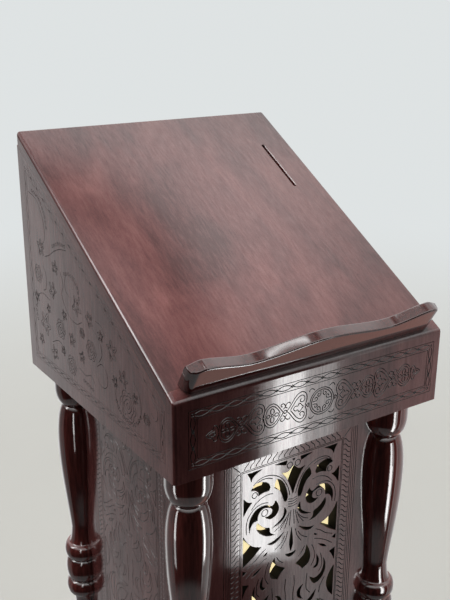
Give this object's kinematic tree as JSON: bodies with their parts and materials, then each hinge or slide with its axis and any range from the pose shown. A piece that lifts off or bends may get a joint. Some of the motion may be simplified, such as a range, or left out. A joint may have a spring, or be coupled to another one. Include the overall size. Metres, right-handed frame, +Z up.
{
  "type": "church lectern",
  "caption": "Church lectern: sloped desk box with book ledge and money slot, on a square cabinet with turned corner columns, pierced scrollwork front and rear doors.",
  "frame": {"origin": "on the floor, under the middle of the plan", "axes": "+Z up, -Y towards the person who stands at the ledge, +X to that person's right"},
  "size_m": [0.48, 0.48, 1.2045],
  "materials": {
    "stained_board": "red-brown stained plywood, semi-gloss varnish, fine grain, engraved ornament",
    "gloss_lacquer": "turned and shaped hardwood, very dark red-brown, high-gloss lacquer",
    "bare_board": "plain plywood",
    "gold_board": "board faced with gold foil",
    "brass": "satin",
    "steel": "nickel-plated",
    "glide_pad": "hard felt-grey plastic"
  },
  "bodies": {
    "lectern": {"desk_top": "stained_board", "desk_fascia": "stained_board", "desk_side_left": "stained_board", "desk_side_right": "stained_board", "desk_back_stile_left": "stained_board", "desk_back_stile_right": "stained_board", "desk_back_rail_top": "stained_board", "desk_back_rail_bottom": "stained_board", "front_panel": "stained_board", "cabinet_side_left": "stained_board", "cabinet_side_right": "stained_board", "cabinet_back_stile_left": "stained_board", "cabinet_back_stile_right": "stained_board", "cabinet_back_rail_bottom": "stained_board", "cabinet_back_rail_top": "stained_board", "plinth_top": "stained_board", "plinth_skirt_front": "stained_board", "plinth_skirt_back": "stained_board", "plinth_skirt_left": "stained_board", "plinth_skirt_right": "stained_board", "book_ledge": "gloss_lacquer", "column_front_left": "gloss_lacquer", "column_front_right": "gloss_lacquer", "column_back_right": "gloss_lacquer", "column_back_left": "gloss_lacquer", "desk_floor": "bare_board", "backing_strip_left": "bare_board", "backing_strip_right": "bare_board", "shelf": "bare_board", "shelf_cleat_left": "bare_board", "shelf_cleat_right": "bare_board", "front_backing": "gold_board", "hatch_hinge_upper_frame_leaf": "brass", "hatch_hinge_upper_pin": "brass", "hatch_hinge_lower_frame_leaf": "brass", "hatch_hinge_lower_pin": "brass", "cabinet_hinge_upper_frame_leaf": "brass", "cabinet_hinge_upper_pin": "brass", "cabinet_hinge_lower_frame_leaf": "brass", "cabinet_hinge_lower_pin": "brass", "glide_front_left": "glide_pad", "glide_front_right": "glide_pad", "glide_back_right": "glide_pad", "glide_back_left": "glide_pad"},
    "hatch_door": {"hatch_door": "stained_board", "hatch_hinge_upper_door_leaf": "brass", "hatch_hinge_lower_door_leaf": "brass", "hatch_lock_body": "steel"},
    "hatch_lock": {"hatch_lock_plug": "steel", "hatch_lock_cam": "steel", "hatch_lock_nut": "steel"},
    "cabinet_door": {"cabinet_door": "stained_board", "cabinet_hinge_upper_door_leaf": "brass", "cabinet_hinge_lower_door_leaf": "brass", "cabinet_lock_body": "steel", "cabinet_knob": "gloss_lacquer"},
    "cabinet_lock": {"cabinet_lock_plug": "steel", "cabinet_lock_cam": "steel", "cabinet_lock_nut": "steel"}
  },
  "joints": [
    {"name": "hatch_swing", "type": "hinge", "parent": "lectern", "child": "hatch_door", "pos_m": [-0.14795, 0.2208, 1.00209], "axis": [0, 0, 1], "range_deg": [0, 110]},
    {"name": "hatch_lock_turn", "type": "hinge", "parent": "hatch_door", "child": "hatch_lock", "pos_m": [0.1192, 0.217, 1.00209], "axis": [0, -1, 0], "range_deg": [0, 90]},
    {"name": "cabinet_door_swing", "type": "hinge", "parent": "lectern", "child": "cabinet_door", "pos_m": [-0.11825, 0.1788, 0.4559], "axis": [0, 0, 1], "range_deg": [0, 105]},
    {"name": "cabinet_lock_turn", "type": "hinge", "parent": "cabinet_door", "child": "cabinet_lock", "pos_m": [0.0895, 0.175, 0.4559], "axis": [0, -1, 0], "range_deg": [0, 90]}
  ]
}
